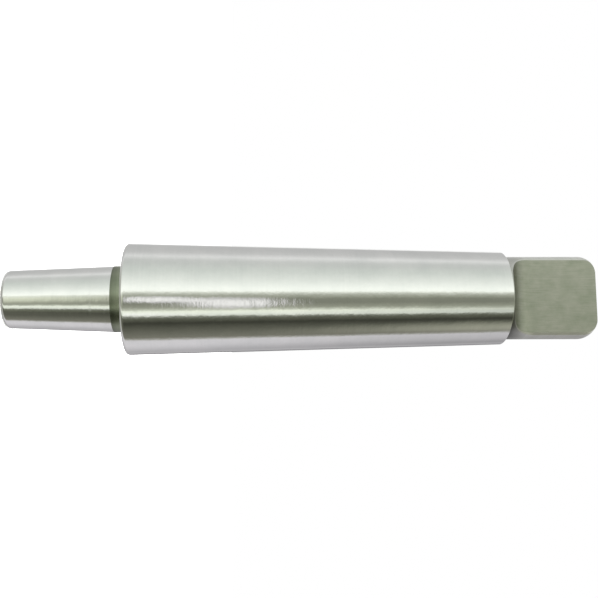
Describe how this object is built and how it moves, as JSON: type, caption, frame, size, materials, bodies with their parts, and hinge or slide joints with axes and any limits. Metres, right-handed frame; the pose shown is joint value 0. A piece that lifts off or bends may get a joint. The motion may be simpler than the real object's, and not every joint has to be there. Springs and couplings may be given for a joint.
{
  "type": "drill chuck arbor",
  "caption": "Steel arbor that carries a drill chuck in a machine spindle: a short cone for the chuck, a long taper shank and a flat tang.",
  "frame": {"origin": "centre of the small end face of the nose, on which the arbor stands", "axes": "+Z along the arbor's axis, from the nose to the tang; the two flats of the tang face -Y and +Y"},
  "size_m": [0.024, 0.024, 0.1256],
  "materials": {
    "ground_steel": "ground bright, with the neck and the tang left as turned and milled"
  },
  "bodies": {
    "root": {"arbor": "ground_steel"}
  },
  "joints": []
}
